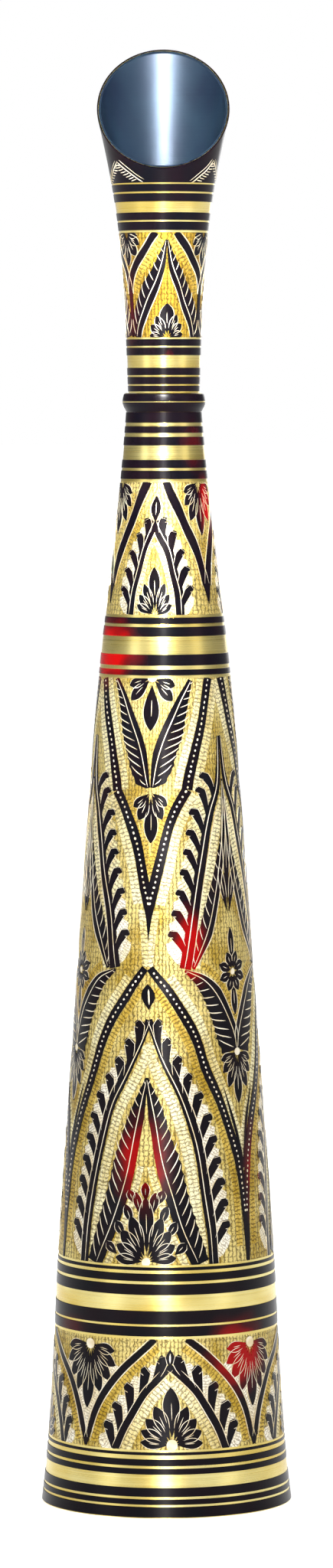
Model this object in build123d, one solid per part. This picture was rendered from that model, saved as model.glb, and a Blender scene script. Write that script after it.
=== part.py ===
from build123d import *
import os
from math import atan2, degrees, radians, tan

# Tall engraved brass vase, 610 mm high: a tapering body in three turned sections on a recessed
# base plate, a loose collar ring, and a neck with a slant-cut flared mouth that screws down
# through the collar into the body. Black lacquer lies over the brass as turned rings and fields.
#
# Millimetres. +Z is up, the origin is the centre of the foot's resting plane, and the slanted
# mouth is lowest towards -Y.

# Driving heights, from the resting plane
HEIGHT = 610.0
LOWER_SEAM = 89.5
UPPER_SEAM = 361.0
BODY_TOP = 456.5
NECK_FOOT = 464.5
RIM_FRONT = 557.5

# Sheet and lacquer
WALL = 1.2
COAT = 0.25
LINING = 0.2

# Outlines: each list holds the control radii of a Bezier curve, evenly spaced in height
FOOT_RADII = (52.5, 48.7, 47.5, 46.3)
MAIN_RADII = (46.3, 42.4, 35.9, 33.2, 26.2)
UPPER_RADII = (26.2, 22.0, 18.3, 15.9)
NECK_RADII = (15.0, 16.4, 15.7, 19.6, 27.7, 35.3)

# Screw joint between neck and body
PITCH = 2.5
THREAD_MAJOR = 11.5
THREAD_ROOT = 10.6
THREAD_CLEARANCE = 0.15
SCREW_FOOT = 442.75
THREAD_FOOT = 443.35
THREAD_TOP = 453.0
SHANK_FOOT = 455.6
SCREW_BORE = 9.4
PLUG_HEIGHT = 10.0
BUSH_FOOT = 443.5
SHANK_BORE = 11.8
COUNTERBORE_FOOT = 455.2
COLLAR_BORE = 12.0

# Brazed sleeves behind the two seams, and the plate inside the foot
SLEEVE_HALF_HEIGHT = 6.0
SLEEVE_WALL = 1.0
PLATE_LEVEL = 6.0
PLATE_THICKNESS = 1.2
PLATE_LIP = 4.0
PLATE_RISE = 3.0
PLATE_RISE_RADIUS = 30.0

# Plain turned bands, listed from the top down: each entry is a brass gap, then the lacquer ring
# below it. A group starts at its top height and ends with a last brass gap.
MOUTH_BANDS = (551.9, ((0.6, 3.1), (0.7, 3.4), (4.5, 3.2), (0.7, 3.5)), 0.9)
NECK_BANDS = (487.6, ((0.7, 2.8), (0.7, 3.2), (5.2, 3.1), (0.7, 3.1), (0.6, 2.4)), 0.6)
SHOULDER_BANDS = (456.5, ((0.0, 4.4), (1.5, 2.8), (1.6, 3.6), (6.0, 3.4), (1.1, 3.5)), 1.2)
MIDDLE_BANDS = (372.2, ((1.1, 2.6), (1.3, 3.9), (7.5, 4.6), (1.6, 2.4)), 1.2)
LOWER_BANDS = (103.9, ((0.9, 1.3), (1.3, 3.2), (1.2, 4.4), (6.6, 5.5), (0.9, 4.1)), 1.1)
FOOT_BANDS = (27.8, ((0.9, 1.2), (1.7, 2.7), (1.1, 2.4), (5.4, 3.7), (1.0, 2.2), (0.9, 4.3)), 0.3)

BIG = 200.0  # larger than any radius, for cutting solids


def group_height(group):
    """Height of a band group, brass gaps and lacquer rings together."""
    return sum(gap + ring for gap, ring in group[1]) + group[2]


def group_foot(group):
    """Level of the lower end of a band group."""
    return group[0] - group_height(group)


def revolved(points_or_edges):
    """Solid of revolution about Z of the closed outline, given in the XZ plane."""
    return revolve(make_face(Wire(points_or_edges)), Axis.Z)


def outline(radii, bottom, top, inset):
    """Bezier edge through evenly spaced heights, moved towards the axis by inset."""
    step = (top - bottom) / (len(radii) - 1)
    points = [Vector(radius - inset, 0, bottom + step * i) for i, radius in enumerate(radii)]
    return Edge.make_bezier(*points)


def filled(radii, bottom, top, inset):
    """Solid whose side is the outline moved in by inset, closed with flat ends."""
    side = outline(radii, bottom, top, inset)
    low, high = side @ 0, side @ 1
    axis_low, axis_high = Vector(0, 0, bottom), Vector(0, 0, top)
    edges = [
        side,
        Edge.make_line(high, axis_high),
        Edge.make_line(axis_high, axis_low),
        Edge.make_line(axis_low, low),
    ]
    return revolved(edges)


def shell(radii, bottom, top, outer_inset, inner_inset):
    """Tapering tube between the outline moved in by outer_inset and by inner_inset."""
    outer = outline(radii, bottom, top, outer_inset)
    inner = outline(radii, bottom, top, inner_inset)
    edges = [
        outer,
        Edge.make_line(outer @ 1, inner @ 1),
        inner,
        Edge.make_line(inner @ 0, outer @ 0),
    ]
    return revolved(edges)


def disc(radius, bottom, top):
    """Solid cylinder on the Z axis between two heights."""
    return Pos(0, 0, bottom) * Cylinder(
        radius, top - bottom, align=(Align.CENTER, Align.CENTER, Align.MIN)
    )


def slab(bottom, top):
    """Everything between two heights."""
    return disc(BIG, bottom, top)


def below_slant():
    """Everything under the plane that cuts the mouth, from the front of its rim to the back."""
    rim_front_radius = 22.8
    rim_back_radius = NECK_RADII[-1]
    angle = degrees(atan2(HEIGHT - RIM_FRONT, rim_front_radius + rim_back_radius))
    block = Box(2 * BIG, 2 * BIG, 2 * BIG, align=(Align.CENTER, Align.CENTER, Align.MAX))
    return Pos(0, -rim_front_radius, RIM_FRONT) * Rot(angle, 0, 0) * block


def lacquer_rings(coat, group):
    """The rings of one band group, cut from a coat that covers the whole section."""
    rings = []
    level = group[0]
    for gap, ring in group[1]:
        level -= gap
        rings += (coat & slab(level - ring, level)).solids()
        level -= ring
    return rings


def lacquer_field(coat, top, bottom):
    """The coat over one engraved field, whose pattern is cut through it."""
    return (coat & slab(bottom, top)).solids()


def screw_ridge(root, crest, extra):
    """Helical ridge of trapezoid section from the root radius to the crest radius. It is made
    wider by extra on each flank, always passes the same angle at the same height, and runs on
    past the screw's foot and past the body's top."""
    flank = tan(radians(30)) * (crest - root)
    half_crest = PITCH * 0.16 + extra
    half_root = half_crest + flank
    start = SCREW_FOOT - 2 * PITCH
    section = make_face(
        Polyline(
            (root, 0, start - half_root),
            (crest, 0, start - half_crest),
            (crest, 0, start + half_crest),
            (root, 0, start + half_root),
            close=True,
        )
    )
    path = Pos(0, 0, start) * Helix(PITCH, BODY_TOP - start + 2 * PITCH, (root + crest) / 2)
    return sweep(section, path=path, is_frenet=True)


def make_threaded_spigot():
    """Plug brazed in the neck's foot, a plain shank through the collar, a relief, and the male
    thread."""
    plug = filled(NECK_RADII, NECK_FOOT, HEIGHT, COAT + WALL) & slab(NECK_FOOT, NECK_FOOT + PLUG_HEIGHT)
    shank = disc(THREAD_MAJOR, SHANK_FOOT, NECK_FOOT)
    core = disc(THREAD_ROOT, SCREW_FOOT, SHANK_FOOT)
    ridge = screw_ridge(THREAD_ROOT - 0.2, THREAD_MAJOR, 0) & slab(THREAD_FOOT, THREAD_TOP)
    bore = disc(SCREW_BORE, SCREW_FOOT - 1, NECK_FOOT + PLUG_HEIGHT + 1)
    return (core + ridge + shank + plug) - bore


def make_threaded_bush():
    """Bush brazed inside the top of the body. The female thread is cut before the hole, so that
    its groove ends in open air on every side."""
    inside = filled(UPPER_RADII, UPPER_SEAM, BODY_TOP, COAT + WALL)
    blank = inside & slab(BUSH_FOOT, BODY_TOP)
    clear_root = THREAD_ROOT + THREAD_CLEARANCE
    clear_crest = THREAD_MAJOR + THREAD_CLEARANCE
    groove = screw_ridge(clear_root - 0.25, clear_crest, THREAD_CLEARANCE)
    hole = disc(clear_root, BUSH_FOOT - 1, BODY_TOP + 1)
    counterbore = disc(SHANK_BORE, COUNTERBORE_FOOT, BODY_TOP + 1)
    return blank - groove - hole - counterbore


def collar_profile(inset):
    """Outline of the collar: undercut below, a narrow edge, and a bevel above."""
    low, high = BODY_TOP, NECK_FOOT
    outer = [
        (15.8, low),
        (16.9, low + 2.3),
        (17.45, low + 4.0),
        (17.45, low + 4.6),
        (16.8, high - 0.5),
        (16.3, high),
    ]
    points = [(radius - inset, 0, z) for radius, z in outer]
    return [(COLLAR_BORE, 0, low), *points, (COLLAR_BORE, 0, high)]


def make_collar():
    """The brass collar ring, and the two lacquer rings that lie flush in it."""
    full = revolve(make_face(Polyline(*collar_profile(0), close=True)), Axis.Z)
    core = revolve(make_face(Polyline(*collar_profile(COAT), close=True)), Axis.Z)
    skin = full - core
    below_edge = skin & slab(BODY_TOP + 0.6, BODY_TOP + 3.9)
    above_edge = skin & slab(BODY_TOP + 4.7, NECK_FOOT - 0.7)
    ring = full - below_edge - above_edge
    return ring, [*below_edge.solids(), *above_edge.solids()]


def make_base_plate():
    """Pressed plate brazed inside the foot: a down-turned lip and a raised middle."""
    inside = filled(FOOT_RADII, 0, LOWER_SEAM, COAT + WALL)
    lip_inside = filled(FOOT_RADII, 0, LOWER_SEAM, COAT + WALL + PLATE_THICKNESS)
    upper = PLATE_LEVEL + PLATE_THICKNESS
    flat = inside & slab(PLATE_LEVEL - PLATE_LIP, upper)
    hollow = lip_inside & slab(0, PLATE_LEVEL)
    dome = Pos(0, 0, upper) * Cone(
        PLATE_RISE_RADIUS,
        PLATE_RISE_RADIUS - PLATE_RISE,
        PLATE_RISE,
        align=(Align.CENTER, Align.CENTER, Align.MIN),
    )
    dome_hollow = Pos(0, 0, PLATE_LEVEL) * Cone(
        PLATE_RISE_RADIUS - PLATE_THICKNESS,
        PLATE_RISE_RADIUS - PLATE_THICKNESS - PLATE_RISE,
        PLATE_RISE,
        align=(Align.CENTER, Align.CENTER, Align.MIN),
    )
    return (flat - hollow) + dome - dome_hollow


def seam_sleeve(seam, lower_inside, upper_inside):
    """Ring brazed behind a seam. It follows the inner walls of both sections."""
    low, high = seam - SLEEVE_HALF_HEIGHT, seam + SLEEVE_HALF_HEIGHT
    outer = (lower_inside(0) & slab(low, seam)) + (upper_inside(0) & slab(seam, high))
    hollow = (lower_inside(SLEEVE_WALL) & slab(low - 1, seam)) + (
        upper_inside(SLEEVE_WALL) & slab(seam, high + 1)
    )
    return outer - hollow


def foot_inside(extra):
    return filled(FOOT_RADII, 0, LOWER_SEAM, COAT + WALL + extra)


def main_inside(extra):
    return filled(MAIN_RADII, LOWER_SEAM, UPPER_SEAM, COAT + WALL + extra)


def upper_inside(extra):
    return filled(UPPER_RADII, UPPER_SEAM, BODY_TOP, COAT + WALL + extra)


def make_brass():
    """The turned brass pieces."""
    brass = COAT + WALL
    slant = below_slant()
    return {
        "foot_section": shell(FOOT_RADII, 0, LOWER_SEAM, COAT, brass),
        "main_section": shell(MAIN_RADII, LOWER_SEAM, UPPER_SEAM, COAT, brass),
        "upper_section": shell(UPPER_RADII, UPPER_SEAM, BODY_TOP, COAT, brass),
        "neck_and_mouth": shell(NECK_RADII, NECK_FOOT, HEIGHT, COAT, brass) & slant,
        "lower_seam_sleeve": seam_sleeve(LOWER_SEAM, foot_inside, main_inside),
        "upper_seam_sleeve": seam_sleeve(UPPER_SEAM, main_inside, upper_inside),
        "base_plate": make_base_plate(),
        "threaded_bush": make_threaded_bush(),
        "threaded_spigot": make_threaded_spigot(),
    }


def make_lacquer():
    """The lacquer: rings in the plain bands, whole coats over the engraved fields, the lining."""
    slant = below_slant()
    foot = shell(FOOT_RADII, 0, LOWER_SEAM, 0, COAT)
    main = shell(MAIN_RADII, LOWER_SEAM, UPPER_SEAM, 0, COAT)
    upper = shell(UPPER_RADII, UPPER_SEAM, BODY_TOP, 0, COAT)
    neck = shell(NECK_RADII, NECK_FOOT, HEIGHT, 0, COAT) & slant
    body = [foot, main, upper]

    def over_body(cut, *limits):
        return [solid for coat in body for solid in cut(coat, *limits)]

    lining_foot = group_foot(MOUTH_BANDS)
    lining = shell(NECK_RADII, NECK_FOOT, HEIGHT, COAT + WALL, COAT + WALL + LINING)
    return {
        "foot_band_lacquer": over_body(lacquer_rings, FOOT_BANDS),
        "foot_field_lacquer": over_body(lacquer_field, group_foot(LOWER_BANDS), FOOT_BANDS[0]),
        "lower_band_lacquer": over_body(lacquer_rings, LOWER_BANDS),
        "main_field_lacquer": over_body(lacquer_field, group_foot(MIDDLE_BANDS), LOWER_BANDS[0]),
        "middle_band_lacquer": over_body(lacquer_rings, MIDDLE_BANDS),
        "upper_field_lacquer": over_body(lacquer_field, group_foot(SHOULDER_BANDS), MIDDLE_BANDS[0]),
        "shoulder_band_lacquer": over_body(lacquer_rings, SHOULDER_BANDS),
        "neck_band_lacquer": lacquer_rings(neck, NECK_BANDS),
        "neck_field_lacquer": lacquer_field(neck, group_foot(MOUTH_BANDS), NECK_BANDS[0]),
        "mouth_band_lacquer": lacquer_rings(neck, MOUTH_BANDS),
        "mouth_field_lacquer": lacquer_field(neck & slant, HEIGHT, MOUTH_BANDS[0]),
        "mouth_lining_lacquer": lacquer_field(lining & slant, HEIGHT, lining_foot),
    }


def main():
    os.makedirs("parts", exist_ok=True)
    collar, collar_lacquer = make_collar()
    nodes = {**make_brass(), **make_lacquer()}
    nodes["collar_ring"] = collar
    nodes["collar_lacquer"] = collar_lacquer
    for name, shape in nodes.items():
        solids = shape if isinstance(shape, list) else shape.solids()
        print(name, len(solids))
        export_step(Compound(children=list(solids)), f"parts/{name}.step")


main()
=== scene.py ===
"""Tall engraved brass vase with a screw-in neck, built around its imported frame."""

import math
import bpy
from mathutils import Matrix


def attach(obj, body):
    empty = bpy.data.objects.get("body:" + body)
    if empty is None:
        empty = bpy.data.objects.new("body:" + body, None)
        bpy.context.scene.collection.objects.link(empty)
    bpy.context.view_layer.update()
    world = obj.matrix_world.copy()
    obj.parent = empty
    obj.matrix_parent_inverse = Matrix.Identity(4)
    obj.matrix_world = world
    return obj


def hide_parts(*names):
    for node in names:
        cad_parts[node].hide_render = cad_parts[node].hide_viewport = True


bl_info = {
    "name": "Engraved brass vase",
    "version": (1, 0, 0),
    "blender": (4, 5, 0),
    "location": "View3D > Sidebar > Vase",
    "description": "Turned brass, black lacquer and cut pattern of a tall vase, with a plain studio",
    "category": "Add Mesh",
}

import bpy
import numpy as np
from mathutils import Matrix, Vector

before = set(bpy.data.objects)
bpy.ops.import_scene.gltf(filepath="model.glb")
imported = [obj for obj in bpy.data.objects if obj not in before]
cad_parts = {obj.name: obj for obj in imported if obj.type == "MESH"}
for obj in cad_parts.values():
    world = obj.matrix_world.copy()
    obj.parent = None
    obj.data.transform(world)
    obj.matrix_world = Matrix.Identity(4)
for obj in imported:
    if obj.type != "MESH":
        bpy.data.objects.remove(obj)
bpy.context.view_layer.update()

MM = 0.001
TINY = 0.02  # half the width of a pointed end, so that it stays a closed shape
FINE_STEP = 0.35  # between the points of a small mark's run

# Outline, in millimetres: (foot, top, control radii evenly spaced in height)
FOOT_SECTION = (0.0, 89.5, (52.5, 48.7, 47.5, 46.3))
MAIN_SECTION = (89.5, 361.0, (46.3, 42.4, 35.9, 33.2, 26.2))
UPPER_SECTION = (361.0, 456.5, (26.2, 22.0, 18.3, 15.9))
NECK_SECTION = (464.5, 610.0, (15.0, 16.4, 15.7, 19.6, 27.7, 35.3))
SECTIONS = (FOOT_SECTION, MAIN_SECTION, UPPER_SECTION, NECK_SECTION)
WALL = 1.2
COAT = 0.25
LINING = 0.2
HAIR = 0.02  # a hair's breadth, which keeps touching surfaces from sharing one place
SLEEVE_FIT = 0.03  # room for braze between the wall and what is fixed inside it
RIM_FRONT = 557.5
RIM_FRONT_RADIUS = 22.8

# Plain bands from the top down: (top, ((brass gap, lacquer ring below it), ...), last gap)
MOUTH_BANDS = (551.9, ((0.6, 3.1), (0.7, 3.4), (4.5, 3.2), (0.7, 3.5)), 0.9)
NECK_BANDS = (487.6, ((0.7, 2.8), (0.7, 3.2), (5.2, 3.1), (0.7, 3.1), (0.6, 2.4)), 0.6)
SHOULDER_BANDS = (456.5, ((0.0, 4.4), (1.5, 2.8), (1.6, 3.6), (6.0, 3.4), (1.1, 3.5)), 1.2)
MIDDLE_BANDS = (372.2, ((1.1, 2.6), (1.3, 3.9), (7.5, 4.6), (1.6, 2.4)), 1.2)
LOWER_BANDS = (103.9, ((0.9, 1.3), (1.3, 3.2), (1.2, 4.4), (6.6, 5.5), (0.9, 4.1)), 1.1)
FOOT_BANDS = (27.8, ((0.9, 1.2), (1.7, 2.7), (1.1, 2.4), (5.4, 3.7), (1.0, 2.2), (0.9, 4.3)), 0.3)

# Screw joint, in millimetres
PITCH = 2.5
THREAD_MAJOR = 11.5
THREAD_ROOT = 10.6
THREAD_CLEARANCE = 0.15
SCREW_FOOT = 442.75
THREAD_FOOT = 443.35
THREAD_TOP = 453.0
SHANK_FOOT = 455.6
SCREW_BORE = 9.4
PLUG_TOP = 474.5
BUSH_FOOT = 443.5
COUNTERBORE_FOOT = 455.2
SHANK_BORE = 11.8
COLLAR_BORE = 12.0

# Red shading of the lacquer: (angle, height, half width in degrees, half height, strength),
# the ten that face the front first and then the five round the back
STAINS = (
    (-62, 357, 41, 14, 1.0),
    (16, 234, 13, 17, 1.0),
    (-13, 146, 17, 19, 1.0),
    (40, 66, 20, 16, 0.95),
    (64, 417, 16, 14, 0.9),
    (58, 138, 9, 24, 0.7),
    (-60, 500, 22, 18, 0.35),
    (48, 442, 26, 10, 0.35),
    (-58, 76, 14, 6, 0.4),
    (8, 480, 8, 3, 0.35),
    (150, 300, 18, 30, 0.9),
    (-150, 190, 18, 26, 0.9),
    (110, 100, 20, 18, 0.8),
    (-120, 410, 22, 16, 0.8),
    (170, 60, 22, 14, 0.8),
)

# Layers of a cut field: (last part of the name, foot, face, step between strips, slot), with
# foot and face in millimetres from the outline
LAYERS = {
    "lacquer": ("motifs", -COAT - 0.03, 0.0, 0.004, "black_lacquer"),
    "line": ("cut_lines", -0.12, 0.05, 0.003, "brass"),
    "hatch": ("hatching", -COAT - 0.06, -COAT + 0.03, 0.003, "brass"),
    "amber": ("amber_hatching", -COAT - 0.06, -COAT + 0.02, 0.002, "brass"),
    "silver": ("bright_hatching", -COAT - 0.06, -COAT + 0.07, 0.003, "brass"),
}

# Stage, in metres and degrees
FLOOR_REACH = 60.0
FLOOR_DROP = 0.0002
CAMERA_SIDE = 0.0009
CAMERA_AIM_HEIGHT = 0.3926
CAMERA_LEAN = -0.14
CAMERA_SHIFT = -0.14
VASE_MIDDLE = (0, 0, 0.3)
MOUTH = (0, 0, 0.6)

# Soft lights: (name, place, size, watts, colour), all aimed at the vase's middle
SOFT_LIGHTS = (
    ("key_strip", (-0.06, -2.6, 0.75), (0.16, 2.0), 36, (1.0, 0.96, 0.98)),
    ("left_soft", (-2.3, -1.5, 1.0), (1.0, 2.0), 7, (0.92, 0.96, 1.0)),
    ("right_soft", (2.3, -1.2, 1.0), (1.0, 2.0), 5, (1.0, 0.96, 0.9)),
    ("back_soft", (0.6, 2.6, 1.1), (1.4, 1.6), 16, (1, 1, 1)),
)


# ---------------------------------------------------------------- surfaces


def bezier(radii, share):
    """Bernstein sum of the control radii, which are evenly spaced in height."""
    top = len(radii) - 1
    return sum(
        math.comb(top, i) * share**i * (1 - share) ** (top - i) * r for i, r in enumerate(radii)
    )


def radius(z):
    """Outer radius of the lacquered vase at height z, section by section."""
    z = np.asarray(z, float)
    inside = [z <= high for low, high, radii in SECTIONS[:-1]]
    values = [
        bezier(radii, np.clip((z - low) / (high - low), 0, 1)) for low, high, radii in SECTIONS
    ]
    return np.select(inside, values[:-1], values[-1])


def place(angle, z, lift):
    """Point at an angle in degrees from the front, a height and a lift above the outline."""
    r = radius(z) + lift
    a = np.radians(angle)
    return np.stack([r * np.sin(a), -r * np.cos(a), z + 0 * r], -1) * MM


def rim_height(angle, inset):
    """Height where the slant plane cuts the outline moved in by inset: plane and outline are
    solved in turns, which closes in quickly because the slant is gentler than the flare."""
    back_top = NECK_SECTION[1]
    slope = (back_top - RIM_FRONT) / (RIM_FRONT_RADIUS + NECK_SECTION[2][-1])
    z = np.full(np.shape(angle), RIM_FRONT)
    for _ in range(40):
        depth = -(radius(z) - inset) * np.cos(np.radians(angle))
        z = RIM_FRONT + slope * (depth + RIM_FRONT_RADIUS)
    return z


def grid_quads(rows, columns, wrap_rows=False, wrap_columns=False):
    """Quads of a grid whose second index runs fastest, closed on itself where it wraps."""
    i = np.arange(rows if wrap_rows else rows - 1)[:, None]
    j = np.arange(columns if wrap_columns else columns - 1)[None, :]
    near, far = i * columns, (i + 1) % rows * columns
    right = (j + 1) % columns
    return np.stack([near + j, far + j, far + right, near + right], -1).reshape(-1, 4)


def make_piece(name, points, quads, materials, body, slot, uv=None, stain=None, index=None):
    """Mesh object from an array of points and an array of quads. uv has one row per corner,
    stain one value per point and index one material number per quad."""
    mesh = bpy.data.meshes.new(name)
    mesh.vertices.add(len(points))
    mesh.vertices.foreach_set("co", np.ascontiguousarray(points, np.float32).ravel())
    mesh.loops.add(quads.size)
    mesh.loops.foreach_set("vertex_index", quads.astype(np.int32).ravel())
    mesh.polygons.add(len(quads))
    mesh.polygons.foreach_set("loop_start", np.arange(0, quads.size, 4, dtype=np.int32))
    if index is not None:
        mesh.polygons.foreach_set("material_index", index.astype(np.int32))
    mesh.update(calc_edges=True)
    if uv is not None:
        layer = mesh.uv_layers.new(name="Run")
        layer.data.foreach_set("uv", np.ascontiguousarray(uv, np.float32).ravel())
    if stain is not None:
        layer = mesh.attributes.new("stain", "FLOAT", "POINT")
        layer.data.foreach_set("value", np.ascontiguousarray(stain, np.float32).ravel())
    for material in materials:
        mesh.materials.append(material)
    mesh.shade_smooth()
    mesh.set_sharp_from_angle(angle=math.radians(32))
    piece = bpy.data.objects.new(name, mesh)
    bpy.context.scene.collection.objects.link(piece)
    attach(piece, body)
    return piece


def turn_points(profile, segments):
    """Closed profile of (radius, height) points carried round the axis."""
    r, z = np.asarray(profile, float).T
    a = np.linspace(0, 2 * np.pi, segments, endpoint=False)[:, None]
    return np.stack([r * np.sin(a), -r * np.cos(a), z + 0 * a], -1).reshape(-1, 3) * MM


def corner_rows(segments, columns):
    """Row of every corner of a turned grid in a table whose last profile repeats the first, so
    that the run round the axis doesn't jump back at the closing face."""
    i, j = np.arange(segments)[:, None], np.arange(columns)[None, :]
    near, far, right = i * columns, (i + 1) * columns, (j + 1) % columns
    return np.stack([near + j, far + j, far + right, near + right], -1).ravel()


def turn_uv(profile, segments):
    """Run round the axis and height, in millimetres, one row per corner of the turned grid."""
    r, z = np.asarray(profile, float).T
    around = np.linspace(0, 2 * np.pi, segments + 1)[:, None] * r.mean()
    rows = np.stack([around + 0 * z, z + 0 * around], -1).reshape(-1, 2)
    return rows[corner_rows(segments, len(r))]


def counterclockwise(profile):
    """The closed profile, turned round if its signed area is negative."""
    p = np.asarray(profile, float)
    q = np.roll(p, -1, 0)
    return p if np.sum(p[:, 0] * q[:, 1] - q[:, 0] * p[:, 1]) > 0 else p[::-1]


def turned(name, profiles, material, body, slot, segments, stained=False):
    """One piece made of closed profiles carried round the axis."""
    points, quads, uv, count = [], [], [], 0
    for profile in profiles:
        loop = counterclockwise(profile)
        ring = turn_points(loop, segments)
        points.append(ring)
        quads.append(grid_quads(segments, len(loop), True, True) + count)
        uv.append(turn_uv(loop, segments))
        count += len(ring)
    points = np.concatenate(points)
    stain = stain_at(points) if stained else None
    return make_piece(
        name, points, np.concatenate(quads), [material], body, slot, np.concatenate(uv), stain
    )


def stain_at(points):
    """Red share of the lacquer: the strongest of soft-edged ovals on the unrolled surface."""
    angle = np.degrees(np.arctan2(points[:, 0], -points[:, 1]))
    z = points[:, 2] / MM
    rough = 0.06 * np.sin(0.31 * z + 0.2 * angle) + 0.04 * np.sin(0.83 * z - 0.27 * angle)
    stain = np.zeros(len(points))
    for middle, height, wide, tall, strength in STAINS:
        turn = (angle - middle + 180) % 360 - 180
        away = np.hypot(turn / wide, (z - height) / tall) + rough
        stain = np.maximum(stain, strength * np.clip((1.25 - away) / 0.8, 0, 1))
    return stain


# ---------------------------------------------------------------- cut pattern


def smooth(points, count):
    """Catmull-Rom curve through the points: between two points it is the cubic whose end
    slopes are half the step between their neighbours."""
    p = np.asarray(points, float)
    p = np.vstack([2 * p[0] - p[1], p, 2 * p[-1] - p[-2]])
    t = np.linspace(0, len(p) - 3, count)
    k = np.minimum(t.astype(int), len(p) - 4)
    u = (t - k)[:, None]
    a, b, c, d = p[k], p[k + 1], p[k + 2], p[k + 3]
    return b + 0.5 * u * (c - a + u * (2 * a - 5 * b + 4 * c - d + u * (3 * (b - c) + d - a)))


def steady(value):
    """A function of the share as it is, or a number made into one."""
    return value if callable(value) else (lambda share: np.full(len(share), float(value)))


def profile_of(*pairs):
    """Function that runs evenly between (share, value) pairs."""
    shares, values = zip(*pairs)
    return lambda share: np.interp(share, shares, values)


def swell(half, fat=0.5, blunt=1.0):
    """Half width that follows a sine whose peak stands at the share fat of the length. A blunt
    under one is a power that fills out its ends."""
    power = math.log(0.5) / math.log(fat)
    return lambda share: TINY + half * np.sin(np.pi * np.clip(share, 0, 1) ** power) ** blunt


class Run:
    """A line on the vase's surface, from points of (degrees from the motif's middle, height).
    at() gives the place a way along it and an offset to its left, both in millimetres."""

    def __init__(self, points, step=0.6):
        line = smooth(points, 48 * len(points))
        scale = np.radians(radius(line[:, 1]))
        flat = np.diff(line, axis=0) * np.stack([scale[1:], np.ones(len(scale) - 1)], -1)
        way = np.concatenate([[0], np.cumsum(np.hypot(flat[:, 0], flat[:, 1]))])
        self.length = way[-1]
        self.way = np.linspace(0, self.length, max(3, int(self.length / step)))
        self.line = np.stack([np.interp(self.way, way, line[:, k]) for k in (0, 1)], -1)
        scale = np.radians(radius(self.line[:, 1]))
        slope = np.gradient(self.line, axis=0) * np.stack([scale, np.ones(len(scale))], -1)
        slope /= np.linalg.norm(slope, axis=1)[:, None]
        self.left = np.stack([-slope[:, 1] / scale, slope[:, 0]], -1)

    def at(self, way, offset):
        """Degrees and height of the points at way along the line and offset to its left."""
        way, offset = np.broadcast_arrays(np.asarray(way, float), np.asarray(offset, float))
        spot = []
        for k in (0, 1):
            left = np.interp(way, self.way, self.left[:, k])
            spot.append(np.interp(way, self.way, self.line[:, k]) + offset * left)
        return np.stack(spot, -1)

    def strip(self, left, right, start=0.0, end=1.0, step=1.2, widest=2.6):
        """Grid between two offsets, each a number or a function of the share of the run."""
        rows = max(3, int((end - start) * self.length / step) + 1)
        share = np.linspace(start, end, rows)
        a = steady(left)(share)
        b = steady(right)(share)
        columns = max(2, int(np.ceil(np.abs(a - b).max() / widest)) + 1)
        across = np.linspace(0, 1, columns)[None, :]
        return self.at(share[:, None] * self.length, b[:, None] + (a - b)[:, None] * across)

    def blade(self, wide, **fineness):
        """Grid that reaches wide(share) to both sides of the run."""
        return self.strip(wide, lambda share: -wide(share), **fineness)


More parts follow.
